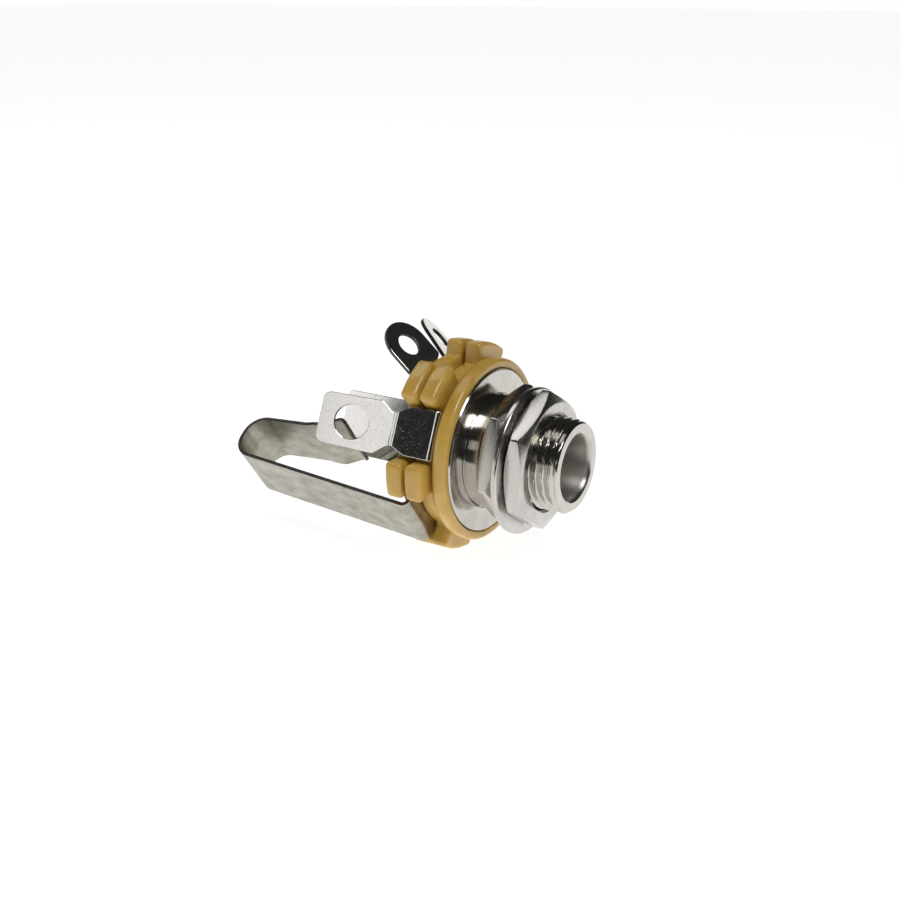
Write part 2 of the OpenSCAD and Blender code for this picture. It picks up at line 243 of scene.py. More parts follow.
# %% [markdown]
# The tip spring is a duller rolled strip. Its roll marks run along the strip and turn with it. A
# pattern in space would cut straight through the bends, so this one reads the flat blank's own map,
# which follows every bend.

# %% Satin spring strip
def make_satin_spring():
    material, tree, shader = start_finish("satin_spring", 1.0, (0.37, 0.35, 0.295), 0.34)
    blank = add(tree, "ShaderNodeUVMap", uv_map="blank").outputs[0]
    lines = cloud(tree, stretched(tree, blank, (6, 150, 1)), 4.0)
    patches = cloud(tree, stretched(tree, blank, (5, 7, 1)), 3.0)
    color = tint(tree, patches, (0.29, 0.275, 0.225), (0.50, 0.48, 0.42))
    tree.links.new(spread(tree, lines, 0.26, 0.42), shader.inputs["Roughness"])
    tree.links.new(color, shader.inputs["Base Color"])
    relief(tree, shader, lines, 0.000005)
    return material


satin_spring = make_satin_spring()
print("made", satin_spring.name)

# %% [markdown]
# The insulators are moulded from an amber plastic, slightly waxy: light enters it a little, so
# thin edges look paler. That needs subsurface scattering, not a paler colour, because it depends on
# the thickness. A thin coat gives the shine, and slow noise the soft waves of a mould.

# %% Amber plastic
def make_amber_plastic():
    material, tree, shader = start_finish("amber_plastic", 0.0, (0.63, 0.395, 0.07), 0.34)
    place = object_place(tree)
    flow = cloud(tree, stretched(tree, place, (260, 420, 420)))
    fine = cloud(tree, stretched(tree, place, (2600, 2600, 2600)))
    color = tint(tree, flow, (0.56, 0.335, 0.05), (0.70, 0.455, 0.095))
    tree.links.new(color, shader.inputs["Base Color"])
    tree.links.new(spread(tree, fine, 0.27, 0.42), shader.inputs["Roughness"])
    relief(tree, shader, plus(tree, flow, fine), 0.00002)
    shader.inputs["Coat Weight"].default_value = 0.4
    shader.inputs["Coat Roughness"].default_value = 0.1
    shader.inputs["Subsurface Weight"].default_value = 0.35
    shader.inputs["Subsurface Radius"].default_value = (1.0, 0.55, 0.2)
    shader.inputs["Subsurface Scale"].default_value = 0.001
    return material


amber_plastic = make_amber_plastic()
print("made", amber_plastic.name)

# %% [markdown]
# All sizes below are in millimetres, because that is how such a jack is drawn. One function turns
# a finished mesh into a piece: it scales it to metres, smooths it between its sharp edges, hangs it
# on the empty of its body if it has one, and hides the solids it stands for.

# %% Making a piece
def to_mesh(name, bm):
    bmesh.ops.remove_doubles(bm, verts=bm.verts, dist=1e-4)
    bmesh.ops.recalc_face_normals(bm, faces=bm.faces)
    mesh = bpy.data.meshes.new(name)
    bm.to_mesh(mesh)
    bm.free()
    return mesh


def add_piece(name, mesh, finishes, nodes, body=None, sharp=30):
    mesh.transform(Matrix.Scale(MM, 4))
    mesh.polygons.foreach_set("use_smooth", [True] * len(mesh.polygons))
    if sharp:
        mesh.set_sharp_from_angle(angle=math.radians(sharp))
    for finish in finishes:
        mesh.materials.append(finish)
    piece = bpy.data.objects.new(name, mesh)
    bpy.context.scene.collection.objects.link(piece)
    if body:
        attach(piece, body)
    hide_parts(*nodes)
    print(name, len(mesh.polygons), "faces")
    return piece


print("a piece is drawn in millimetres and scaled by", MM)

# %% [markdown]
# Rounded corners appear everywhere: on lathe profiles, on wafer outlines and on sheet blanks. A
# bevel of the finished mesh would round every edge alike, so corners are rounded in the flat
# drawing, with a radius for each. A second function moves an outline inwards.

# %% Rounding and insetting an outline
def round_corners(points, radii, steps=8):
    points = [np.array(p, float) for p in points]
    if not hasattr(radii, "__len__"):
        radii = [radii] * len(points)
    out = []
    for i, corner in enumerate(points):
        before, after = points[i - 1] - corner, points[(i + 1) % len(points)] - corner
        span = min(np.linalg.norm(before), np.linalg.norm(after))
        before, after = before / np.linalg.norm(before), after / np.linalg.norm(after)
        half = math.acos(np.clip(before @ after, -1, 1)) / 2
        radius = min(radii[i], 0.49 * span * math.tan(half))
        if radius < 1e-6 or half > math.radians(89):
            out.append(corner)
            continue
        middle = (before + after) / np.linalg.norm(before + after)
        centre = corner + middle * radius / math.sin(half)
        first = corner + before * radius / math.tan(half) - centre
        last = corner + after * radius / math.tan(half) - centre
        turn = math.pi - 2 * half
        for k in range(steps + 1):
            a, b = math.sin(turn * (1 - k / steps)), math.sin(turn * k / steps)
            out.append(centre + (a * first + b * last) / math.sin(turn))
    return np.array(out)


def inset(outline, distance):
    following = np.roll(outline, -1, 0)
    edge = following - outline
    normal = np.stack([-edge[:, 1], edge[:, 0]], 1) / np.linalg.norm(edge, axis=1, keepdims=True)
    middle = normal + np.roll(normal, 1, 0)
    middle /= np.maximum((middle * normal).sum(1, keepdims=True), 0.2)
    area = (outline[:, 0] * following[:, 1] - outline[:, 1] * following[:, 0]).sum()
    return outline + distance * math.copysign(1, area) * middle


print("a square's corners become", len(round_corners([(0, 0), (1, 0), (1, 1), (0, 1)], 0.2)), "points")

# %% [markdown]
# A lathe piece is a profile of radius and place along the axis, swept around it. The Screw modifier
# could do this. A short loop is used instead, because it gives the same number of steps to every
# round piece, and open profiles too. The frame's X axis is the plug's axis, and angles run from
# straight up towards the camera.

# %% Lathe
ROUND = 128


def lathe(profile, closed=True):
    bm = bmesh.new()
    angles = np.arange(ROUND) * 2 * math.pi / ROUND
    rings = [[bm.verts.new((x, -r * math.sin(a), r * math.cos(a))) for a in angles] for r, x in profile]
    pairs = list(zip(rings, rings[1:])) + ([(rings[-1], rings[0])] if closed else [])
    for low, high in pairs:
        for k in range(ROUND):
            n = (k + 1) % ROUND
            bm.faces.new((low[k], low[n], high[n], high[k]))
    return bm


print("lathe with", ROUND, "steps")

# %% [markdown]
# The thread is a rule, not a drawing: a right-hand spiral of 32 turns to the inch. Geometry Nodes
# lay a flat grid around the axis and lower it between the crests. The thread fades out at both
# ends, so that the wall meets the turned part of the bushing in true circles, and a cone cuts the
# first turn, as on a real screw.

# %% Thread rule in Geometry Nodes
PITCH = 25.4 / 32
BARREL_R, BARREL_BACK, BARREL_FRONT, LEAD = 4.75, 1.6, 9.5, 0.32
THREAD_DEPTH, THREAD_FADE, THREAD_ROWS = 0.5, 0.4, 181
ROOT_SHARE, CREST_SHARE = 0.10, 0.90


def thread_tree():
    tree = bpy.data.node_groups.new("thread_wall", "GeometryNodeTree")
    for name in ("Crest radius", "Depth", "Pitch", "Back", "Front", "Lead", "Fade"):
        tree.interface.new_socket(name, in_out="INPUT", socket_type="NodeSocketFloat")
    tree.interface.new_socket("Finish", in_out="INPUT", socket_type="NodeSocketMaterial")
    tree.interface.new_socket("Wall", in_out="OUTPUT", socket_type="NodeSocketGeometry")
    given = tree.nodes.new("NodeGroupInput").outputs

    def calc(operation, a, b=0.0):
        return add(tree, "ShaderNodeMath", {0: a, 1: b}, operation=operation).outputs[0]

    grid = add(tree, "GeometryNodeMeshGrid", {"Size X": 1.0, "Size Y": 1.0, "Vertices X": THREAD_ROWS,
                                              "Vertices Y": ROUND + 1})
    position = tree.nodes.new("GeometryNodeInputPosition").outputs[0]
    place = add(tree, "ShaderNodeSeparateXYZ", {"Vector": position})
    along = calc("ADD", place.outputs["X"], 0.5)
    turn = calc("ADD", place.outputs["Y"], 0.5)
    length = calc("SUBTRACT", given["Front"], given["Back"])
    x = calc("ADD", given["Back"], calc("MULTIPLY", along, length))
    phase = calc("FRACT", calc("SUBTRACT", calc("DIVIDE", x, given["Pitch"]), turn))
    wave = calc("ABSOLUTE", calc("SUBTRACT", calc("MULTIPLY", phase, 2.0), 1.0))
    flank = spread(tree, wave, 1.0, 0.0, ROOT_SHARE, CREST_SHARE)
    to_front = calc("SUBTRACT", given["Front"], x)
    to_end = calc("MINIMUM", to_front, calc("SUBTRACT", x, given["Back"]))
    fade = add(tree, "ShaderNodeMapRange", {"Value": to_end, "From Min": 0.0, "From Max": given["Fade"]},
               interpolation_type="SMOOTHSTEP").outputs[0]
    drop = calc("MULTIPLY", calc("MULTIPLY", flank, given["Depth"]), fade)
    threaded = calc("SUBTRACT", given["Crest radius"], drop)
    cone = calc("ADD", calc("SUBTRACT", given["Crest radius"], given["Lead"]), to_front)
    radius = calc("MINIMUM", threaded, cone)
    angle = calc("MULTIPLY", turn, 2 * math.pi)
    side = calc("MULTIPLY", calc("MULTIPLY", radius, calc("SINE", angle)), -1.0)
    up = calc("MULTIPLY", radius, calc("COSINE", angle))
    wrapped = add(tree, "ShaderNodeCombineXYZ", {"X": x, "Y": side, "Z": up}).outputs[0]
    wall = add(tree, "GeometryNodeSetPosition", {"Geometry": grid.outputs["Mesh"], "Position": wrapped})
    welded = add(tree, "GeometryNodeMergeByDistance", {"Geometry": wall.outputs[0], "Distance": 1e-4})
    real = add(tree, "GeometryNodeRealizeInstances", {"Geometry": welded.outputs[0]})
    done = add(tree, "GeometryNodeSetMaterial", {"Geometry": real.outputs[0], "Material": given["Finish"]})
    tree.links.new(done.outputs[0], tree.nodes.new("NodeGroupOutput").inputs["Wall"])
    return tree


thread_rule = thread_tree()
print("thread rule with", len(thread_rule.nodes), "nodes")

# %% [markdown]
# A tree of nodes makes nothing until an object carries it. An empty holder gets the tree, its
# inputs are set by their identifiers, and the evaluated result is kept as a plain mesh. The holder
# then goes, because the bushing needs the wall as part of its own skin.

# %% Grow the thread wall
def evaluated_mesh(holder):
    evaluated = holder.evaluated_get(bpy.context.evaluated_depsgraph_get())
    mesh = bpy.data.meshes.new_from_object(evaluated)
    bpy.data.objects.remove(holder)
    return mesh


def new_holder(data):
    holder = bpy.data.objects.new("holder", data)
    bpy.context.scene.collection.objects.link(holder)
    return holder


def grow(tree, values):
    holder = new_holder(bpy.data.meshes.new("holder"))
    modifier = holder.modifiers.new("grow", "NODES")
    modifier.node_group = tree
    for item in tree.interface.items_tree:
        if item.in_out == "INPUT":
            modifier[item.identifier] = values[item.name]
    return evaluated_mesh(holder)


thread_wall = grow(thread_rule, {"Crest radius": BARREL_R, "Depth": THREAD_DEPTH, "Pitch": PITCH,
                                 "Back": BARREL_BACK, "Front": BARREL_FRONT, "Lead": LEAD,
                                 "Fade": THREAD_FADE, "Finish": turned_nickel})
print("thread wall", len(thread_wall.polygons), "faces")

# %% [markdown]
# The rest of the bushing is one open profile: from the back of the thread over the hub, the
# flange and the tube to the flared rear end, and through the bore to the rounded lip of the plug
# entry. Two pieces that only touch would show a seam, so the profile's ends are welded to the
# thread wall, and together they are one closed skin.

# %% Bushing
BORE_R, MOUTH_R, TUBE_R, HUB_R, FLANGE_R = 3.25, 3.62, 4.2, 5.9, 8.5
FLARE_BACK = -7.0


def join(*meshes):
    bm = bmesh.new()
    for mesh in meshes:
        bm.from_mesh(mesh)
        bpy.data.meshes.remove(mesh)
    return bm


bushing_profile = [
    (BARREL_R, BARREL_BACK), (5.75, BARREL_BACK), (HUB_R, 1.45), (HUB_R, 0.2), (5.7, 0.14), (5.7, -0.12),
    (5.96, -0.1), (6.06, 0.0), (8.28, 0.0), (8.42, -0.06), (FLANGE_R, -0.2), (FLANGE_R, -1.0),
    (TUBE_R, -1.0), (TUBE_R, -6.5), (5.15, -6.5), (5.34, -6.58), (5.4, -6.75), (5.34, -6.92),
    (5.15, FLARE_BACK), (3.6, FLARE_BACK), (3.35, -6.93), (BORE_R, -6.7), (BORE_R, 8.9), (3.32, 9.2),
    (3.46, 9.4), (MOUTH_R, BARREL_FRONT), (BARREL_R - LEAD, BARREL_FRONT)]
turned = to_mesh("turned", lathe(bushing_profile, closed=False))
bushing = to_mesh("bushing_threaded", join(thread_wall, turned))
add_piece("bushing_threaded", bushing, [turned_nickel], ["bushing"], "body", sharp=24)

# %% [markdown]
# Nuts and wafers aren't round, so the lathe can't make them. But each is a row of outlines around
# the axis, and a loft joins such outlines into a closed skin. An outline can also be moved to one
# radius all round, which gives the round holes.

# %% Loft
def loft(rings):
    bm = bmesh.new()
    made = [[bm.verts.new(p) for p in ring] for ring in rings]
    count = len(made[0])
    for low, high in zip(made, made[1:] + made[:1]):
        for k in range(count):
            n = (k + 1) % count
            bm.faces.new((low[k], low[n], high[n], high[k]))
    return bm


def around(outline, x, radius=None):
    if radius is not None:
        outline = outline / np.linalg.norm(outline, axis=1, keepdims=True) * radius
    return [(x if np.ndim(x) == 0 else x[i], -p[0], p[1]) for i, p in enumerate(outline)]


print("loft ready")

# %% [markdown]
# A hexagon nut is a prism whose corners are cut by a cone at both ends, which leaves the curved
# edges that catch the light. A boolean with a cone could cut them. Here each point of the rounded
# hexagon knows its distance from the axis, and the cone's depth follows from that. A small bevel
# then softens the edges.

# %% Hexagon nuts
NUT_AF, NUT_T, NUT_BORE, NUT_MOUTH = 12.7, 2.2, 4.85, 0.3
NUT_CORNER, NUT_STEP, NUT_CONE = 0.3, 0.35, math.tan(math.radians(30))
NUT_FACE_R = 0.955 * NUT_AF / 2
NUT_BEVEL, NUT_BEVEL_FROM = 0.07, math.radians(24)


def hex_outline(corner_angle):
    corner_r = NUT_AF / math.sqrt(3)
    corners = [corner_r * np.array((math.sin(a), math.cos(a)))
               for a in np.radians(corner_angle + 60 * np.arange(6))]
    rounded = round_corners(corners, NUT_CORNER, 4)
    outline = []
    for p, q in zip(rounded, np.roll(rounded, -1, 0)):
        cuts = max(1, int(np.linalg.norm(q - p) / NUT_STEP))
        outline += [p + (q - p) * k / cuts for k in range(cuts)]
    return np.array(outline)


def hex_nut(back, corner_angle):
    outline = hex_outline(corner_angle)
    depth = (np.linalg.norm(outline, axis=1) - NUT_FACE_R) * NUT_CONE
    front = back + NUT_T
    return loft([
        around(outline, back + NUT_MOUTH, NUT_BORE), around(outline, back, NUT_BORE + NUT_MOUTH),
        around(outline, back, NUT_FACE_R), around(outline, back + depth),
        around(outline, front - depth), around(outline, front, NUT_FACE_R),
        around(outline, front, NUT_BORE + NUT_MOUTH), around(outline, front - NUT_MOUTH, NUT_BORE)])


def soften(mesh):
    holder = new_holder(mesh)
    bevel = holder.modifiers.new("bevel", "BEVEL")
    bevel.width = NUT_BEVEL
    bevel.segments = 2
    bevel.limit_method = "ANGLE"
    bevel.angle_limit = NUT_BEVEL_FROM
    return evaluated_mesh(holder)


for name, node, body, back, corner_angle in (("nut_rear", "rear_nut", "body", 1.65, 43),
                                             ("nut_front", "front_nut", "nut", 4.6, 57)):
    nut = soften(to_mesh(name, hex_nut(back, corner_angle)))
    add_piece(name, nut, [drawn_nickel], [node], body, sharp=18)

# %% [markdown]
# The flat washer is stamped: the punch leaves one side with rounder edges. So it is a lathe
# profile with a radius of its own for each corner. The hole is wider than the barrel, so the
# washer hangs a little low on it.

# %% Washer
WASHER_HOLE_R, WASHER_R, WASHER_BACK, WASHER_FRONT = 5.06, 7.55, 3.9, 4.55
WASHER_DROP = 0.3
washer_profile = round_corners([(WASHER_HOLE_R, WASHER_BACK), (WASHER_R, WASHER_BACK),
                                (WASHER_R, WASHER_FRONT), (WASHER_HOLE_R, WASHER_FRONT)],
                               [0.08, 0.16, 0.24, 0.12])
washer = to_mesh("washer_flat", lathe(washer_profile))
washer.transform(Matrix.Translation((0, 0, -WASHER_DROP)))
add_piece("washer_flat", washer, [drawn_nickel], ["flat_washer"], "washer", sharp=35)

# %% [markdown]
# The front ring is a moulded cup that holds the flange. Its rim is a soft bead, so the profile's
# outer corners have large radii, while the pocket's floor is almost sharp.

# %% Front ring
HOLE_R, RING_R, POCKET_R = 4.25, 9.5, 8.55
RING_BACK, RING_FRONT, POCKET_FLOOR = -1.7, -0.1, -1.0
ring_profile = round_corners([(HOLE_R, RING_BACK), (RING_R, RING_BACK), (RING_R, RING_FRONT),
                              (POCKET_R, RING_FRONT), (POCKET_R, POCKET_FLOOR), (HOLE_R, POCKET_FLOOR)],
                             [0.1, 0.6, 0.62, 0.22, 0.05, 0.1], 7)
ring_front = to_mesh("ring_front", lathe(ring_profile))
add_piece("ring_front", ring_front, [amber_plastic], ["front_insulator"], "body", sharp=40)

# %% [markdown]
# A wafer is a disc with six lobes and notches between them for the contacts. The lobes narrow
# outwards a little, as a mould needs to let them go. The outline is written around the axis as
# stops of radius and angle, each with its own corner radius. On the rear wafer one notch is
# shallower, where a bridge closes the slot for the tip lug.

# %% Wafer outline
WAFER_R, LOBE_R, BRIDGE_R = 8.6, 10.9, 9.25
INDEX = 66
LOBES = [(-43.5, 27.5), (17.5, 22.5), (79, 32)]
DRAFT, FOOT_ROUND, LOBE_ROUND = 1.1, 0.35, 0.5
LOBE_STOPS, NOTCH_CUTS = (0.34, 0.5, 0.66), 8


def wafer_outline(bridged):
    points, radii = [], []
    spans = sorted((INDEX + half + first, width) for half in (0, 180) for first, width in LOBES)
    for i, (first, width) in enumerate(spans):
        last = first + width
        gap = (spans[(i + 1) % len(spans)][0] - last) % 360
        floor_before = BRIDGE_R if bridged and i == 0 else WAFER_R
        floor_after = BRIDGE_R if bridged and i == len(spans) - 1 else WAFER_R
        start, stop = first + DRAFT, last - DRAFT
        stops = [(floor_before, first, FOOT_ROUND), (LOBE_R, start, LOBE_ROUND)]
        stops += [(LOBE_R, start + (stop - start) * k, 0.0) for k in LOBE_STOPS]
        stops += [(LOBE_R, stop, LOBE_ROUND), (floor_after, last, FOOT_ROUND)]
        stops += [(floor_after, last + gap * k / NOTCH_CUTS, 0.0) for k in range(1, NOTCH_CUTS)]
        for r, a, corner in stops:
            points.append((r * math.sin(math.radians(a)), r * math.cos(math.radians(a))))
            radii.append(corner)
    return round_corners(points, radii, 5)


print("wafer outline of", len(wafer_outline(False)), "points")

# %% [markdown]
# Booleans and bevels would leave hard or broken edges on so many corners. So the outline is lofted
# through a quarter circle at the front and at the back, each step set a little further in, as a
# mould leaves a moulded edge.

# %% Lobed wafers
WAFER_T, LOBE_T, EDGE = 1.8, 1.85, 0.46
QUARTER = np.radians([0, 22, 45, 68, 90])


def wafer(front, bridged):
    outline = wafer_outline(bridged)
    sense = 1 if inset(outline, 0.1)[0] @ outline[0] < outline[0] @ outline[0] else -1
    rim = inset(outline, sense * EDGE)
    reach = np.linalg.norm(rim, axis=1, keepdims=True)
    floor = rim / reach * np.minimum(reach, WAFER_R - EDGE)
    quarter = [(EDGE * (1 - math.sin(a)), EDGE * (1 - math.cos(a))) for a in QUARTER]
    back = front - LOBE_T
    rings = [around(rim, front, HOLE_R)]
    rings += [around(inset(outline, sense * i), front - x) for i, x in quarter]
    rings += [around(inset(outline, sense * i), back + x) for i, x in quarter[::-1]]
    rings += [around(floor, back), around(floor, front - WAFER_T), around(rim, front - WAFER_T, HOLE_R)]
    return loft(rings)


for name, node, front, bridged in (("wafer_front", "front_wafer", -2.1, False),
                                   ("wafer_rear", "rear_wafer", -4.3, True)):
    mesh = to_mesh(name, wafer(front, bridged))
    add_piece(name, mesh, [amber_plastic], [node], "body", sharp=50)

# %% [markdown]
# The contacts are stamped flat and then bent, and they are made here in the same order. A modifier
# can bend a sheet once, but these have several bends each. So a bend line says, for each place
# along the flat sheet, where it ends up and which way it heads: straights, and arcs at the corners.

# %% Bend line
BEND_STEP = 4


def bend_line(points, radii):
    rows, place = [], 0.0
    points = [np.array(p, float) for p in points]
    heads = np.unwrap([math.atan2(*(q - p)[::-1]) for p, q in zip(points, points[1:])])
    here = points[0]
    for i, corner in enumerate(points[1:-1]):
        turn = heads[i + 1] - heads[i]
        radius = radii[i]
        along = np.array((math.cos(heads[i]), math.sin(heads[i])))
        start = corner - along * radius * math.tan(abs(turn) / 2)
        rows.append((place, *here, heads[i]))
        place += np.linalg.norm(start - here)
        steps = max(2, int(abs(math.degrees(turn)) / BEND_STEP))
        side = math.copysign(1, turn)
        centre = start + side * radius * np.array((-along[1], along[0]))
        for k in range(steps + 1):
            head = heads[i] + turn * k / steps
            here = centre - side * radius * np.array((-math.sin(head), math.cos(head)))
            rows.append((place + radius * abs(turn) * k / steps, *here, head))
        place += radius * abs(turn)
    rows.append((place + np.linalg.norm(points[-1] - here), *points[-1], heads[-1]))
    return np.array(rows)


def where(line, x, r):
    s = np.linspace(0, line[-1, 0], 2000)
    gap = np.hypot(np.interp(s, line[:, 0], line[:, 1]) - x, np.interp(s, line[:, 0], line[:, 2]) - r)
    return s[gap.argmin()]


print("a bend has a step every", BEND_STEP, "degrees")

# %% [markdown]
# A blank is the flat stamping: an outline with holes, one thickness and edges that are barely
# rounded. A filled flat curve with a little bevel and extrusion gives all of that at once.

# %% Cutting a blank
SHEET, SHEAR = 0.4, 0.05


def circle(u, v, radius, steps=48):
    angles = np.arange(steps) * 2 * math.pi / steps
    return [(u + radius * math.cos(a), v + radius * math.sin(a)) for a in angles]


def cut_blank(outline, holes):
    curve = bpy.data.curves.new("blank", "CURVE")
    curve.dimensions = "2D"
    curve.fill_mode = "BOTH"
    curve.bevel_depth = SHEAR
    curve.bevel_resolution = 1
    curve.extrude = SHEET / 2 - SHEAR
    for loop in [inset(np.array(outline), SHEAR)] + list(holes):
        spline = curve.splines.new("POLY")
        spline.points.add(len(loop) - 1)
        for point, (u, v) in zip(spline.points, loop):
            point.co = (u, v, 0, 1)
        spline.use_cyclic_u = True
    mesh = evaluated_mesh(new_holder(curve))
    bpy.data.curves.remove(curve)
    return mesh


def mirrored(half, radii):
    points = list(half) + [(u, -v) for u, v in half[::-1]]
    return round_corners(points, list(radii) + list(radii)[::-1])


print("sheet thickness", SHEET, "mm")

# %% [markdown]
# Bending carries each point of the blank along the bend line. First the blank is cut across at
# every step of the line, so that it has points where it turns. Its rim gets the sheared finish with
# its painted shade, and its flat place is stored as a map while it is still flat, so that both
# follow every bend.

# %% Bending a blank
CREASE, FLAT_FACE, MAP_SCALE = math.radians(6), 0.8, 10


def bend_blank(name, mesh, line, angle):
    bm = bmesh.new()
    bm.from_mesh(mesh)
    bpy.data.meshes.remove(mesh)
    bmesh.ops.remove_doubles(bm, verts=bm.verts, dist=1e-4)
    for s in line[1:-1, 0]:
        bmesh.ops.bisect_plane(bm, geom=bm.verts[:] + bm.edges[:] + bm.faces[:], dist=1e-5,
                               plane_co=(s, 0, 0), plane_no=(1, 0, 0))
    bm.normal_update()
    for edge in bm.edges:
        edge.smooth = edge.calc_face_angle(0.0) < CREASE
    layer = bm.loops.layers.uv.new("blank")
    for face in bm.faces:
        face.material_index = 1 if abs(face.normal.z) < FLAT_FACE else 0
        for loop in face.loops:
            loop[layer].uv = (loop.vert.co.x / MAP_SCALE, loop.vert.co.y / MAP_SCALE)
    cosine, sine = math.cos(math.radians(angle)), math.sin(math.radians(angle))
    for vert in bm.verts:
        u, v, w = vert.co
        x, r, head = (np.interp(u, line[:, 0], line[:, k]) for k in (1, 2, 3))
        x, r = x - w * math.sin(head), r + w * math.cos(head)
        vert.co = (x, v * cosine - r * sine, v * sine + r * cosine)
    return to_mesh(name, bm)


print("edges under", round(math.degrees(CREASE)), "degrees are smooth")

# %% [markdown]
# The sleeve contact has two fingers on opposite sides of the plug. Each leaves the stack over its
# notch, turns in to a ridge that touches the plug and leans out again. They share one foot. A
# finger's root stays with the stack and the rest flexes; here each finger is left in place, on no
# body.

# %% Foot of the fingers
SLEEVE_X, RUN_R, CONTACT_R = -1.9, 9.15, 7.8
JOG_X, RIDGE = -6.75, np.array((-9.3, 3.2))
FINGER_FOOT = [(SLEEVE_X, CONTACT_R - 1), (SLEEVE_X, RUN_R), (JOG_X, RUN_R), tuple(RIDGE)]
FINGER_BENDS = [0.4, 0.8, 0.8]
NARROW_X = -6.35


def finger_line(lean, length):
    lean = math.radians(lean)
    end = RIDGE + length * np.array((-math.cos(lean), math.sin(lean)))
    return bend_line(FINGER_FOOT + [tuple(end)], FINGER_BENDS)


def add_finger(name, node, angle, line, outline, holes=()):
    mesh = bend_blank(name, cut_blank(outline, holes), line, angle)
    piece = add_piece(name, mesh, [bright_sheet, dull_and_shaded_edge], [node], sharp=None)
    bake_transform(piece)


# %% [markdown]
# The near finger narrows to a neck and ends in a wide head with a round hole. The head hangs a
# little low, so its upper and lower outlines are drawn apart and not mirrored.

# %% Near finger
NEAR_ANGLE, WINDOW_R, WINDOW_BACK, WINDOW_LOW = 66, 1.85, 3.5, -0.2
near_line = finger_line(21, 8.9)
near_end = near_line[-1, 0]
neck, head = near_end - 7.7, near_end - 6.3
wide, narrow = where(near_line, -4.75, RUN_R), where(near_line, NARROW_X, RUN_R)
near_upper = [(0, 2.4), (wide, 2.4), (narrow, 1.6), (neck, 1.6), (head, 2.65), (near_end, 2.45)]
near_lower = [(near_end, -2.9), (head, -3.0), (neck, -1.8), (narrow, -1.8), (wide, -2.5), (0, -2.5)]
near_radii = [0, 0.8, 0.8, 1.2, 0.7, 0.85]
near_outline = round_corners(near_upper + near_lower, near_radii + near_radii[::-1])
window = circle(near_end - WINDOW_BACK, WINDOW_LOW, WINDOW_R + SHEAR)
add_finger("finger_near", "near_finger", NEAR_ANGLE, near_line, near_outline, [window])

# %% [markdown]
# The far finger is a plain blade that widens behind its ridge. Both hang on one ring that the stack
# clamps. The ring is flat and round, so it is turned on the lathe.

# %% Far finger and sleeve ring
far_line = finger_line(3, 12.2)
far_end = far_line[-1, 0]
far_half = [(0, 2.4), (where(far_line, NARROW_X, RUN_R), 2.4), (far_end - 11.6, 3.5), (far_end, 3.5)]
far_outline = mirrored(far_half, [0, 0.8, 0.8, 0.7])
add_finger("finger_far", "far_finger", NEAR_ANGLE + 180, far_line, far_outline)

sleeve_profile = round_corners([(HOLE_R, -2.1), (CONTACT_R, -2.1), (CONTACT_R, -1.7), (HOLE_R, -1.7)], 0.06)
sleeve_ring = to_mesh("sleeve_ring", lathe(sleeve_profile))
add_piece("sleeve_ring", sleeve_ring, [bright_sheet], ["sleeve_contact"], "body")

# %% [markdown]
# The tip spring is one long strip: out of the stack, back along the outside, round a wide return
# bend and forward again to a nose that presses on the plug's tip. The return bend is what flexes;
# here the strip is left in place, on no body.

# %% Tip spring
TIP_X, TIP_ANGLE, APEX_X, U_CORNER = -4.1, 126, -27.3, 2.16
NOSE = np.array((-16.425, 2.2))
NOSE_FLANK = (NOSE[0] - 1.8, 3.35)
NOSE_LIP = NOSE + 0.65 * np.array((math.cos(0.384), math.sin(0.384)))

tip_line = bend_line([(TIP_X, 8.66), (TIP_X, 10.25), (APEX_X, 8.65), (APEX_X, 4.1), NOSE_FLANK,
                      tuple(NOSE), tuple(NOSE_LIP)], [0.6, U_CORNER, U_CORNER, 0.8, 0.6])
tip_end = tip_line[-1, 0]
tip_slope = where(tip_line, *NOSE_FLANK)
tip_half = [(0, 3.3), (tip_slope - 2.2, 3.3), (tip_slope - 1.0, 3.6), (tip_end, 3.6)]
tip_blank = cut_blank(mirrored(tip_half, [0, 0.8, 0.8, 0.3]), [])
tip_mesh = bend_blank("spring_tip", tip_blank, tip_line, TIP_ANGLE)
spring_tip = add_piece("spring_tip", tip_mesh, [satin_spring, dull_and_shaded_edge],
                       ["tip_spring", "tip_terminal"], sharp=None)


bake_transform(spring_tip)

# %% [markdown]
# The two solder lugs are each one stamping: a ring that is clamped in the stack, and a tab with a
# round end and a hole for the wire. Two meshes pushed into each other would leave hidden faces and
# black patches, so one blank holds both, with the ring's hole and the wire's hole cut in it.

# %% Blank of a solder lug
LUG_W, LUG_HOLE, LUG_CORNER, LUG_RIM_STEPS = 5.5, 1.25, 0.4, 96


def lug_blank(ring, shoulders, hole_at):
    hole_r, ring_r = ring
    half = LUG_W / 2
    meet = math.asin(shoulders[0][1] / ring_r)
    foot = (ring_r * (1 + math.cos(meet)), shoulders[0][1])
    end = [(hole_at + half * math.sin(a), half * math.cos(a)) for a in np.radians(np.arange(0, 181, 7.5))]
    side = round_corners([(0, 0), foot, *shoulders, (hole_at, half), (hole_at, 0)],
                         [0, 0] + [LUG_CORNER] * len(shoulders) + [0, 0])
    upper = [p for p in side[1:-1] if p[0] < hole_at - 1e-6]
    lower = [(u, -v) for u, v in upper[::-1]]
    turns = np.linspace(-meet, meet - 2 * math.pi, LUG_RIM_STEPS + 1)[1:-1]
    rim = [(ring_r * (1 + math.cos(a)), ring_r * math.sin(a)) for a in turns]
    holes = [circle(ring_r, 0, hole_r + SHEAR, LUG_RIM_STEPS), circle(hole_at, 0, LUG_HOLE + SHEAR)]
    return cut_blank(np.array([*upper, *end, *lower, *rim]), holes)


print("a lug is", LUG_W, "mm wide")

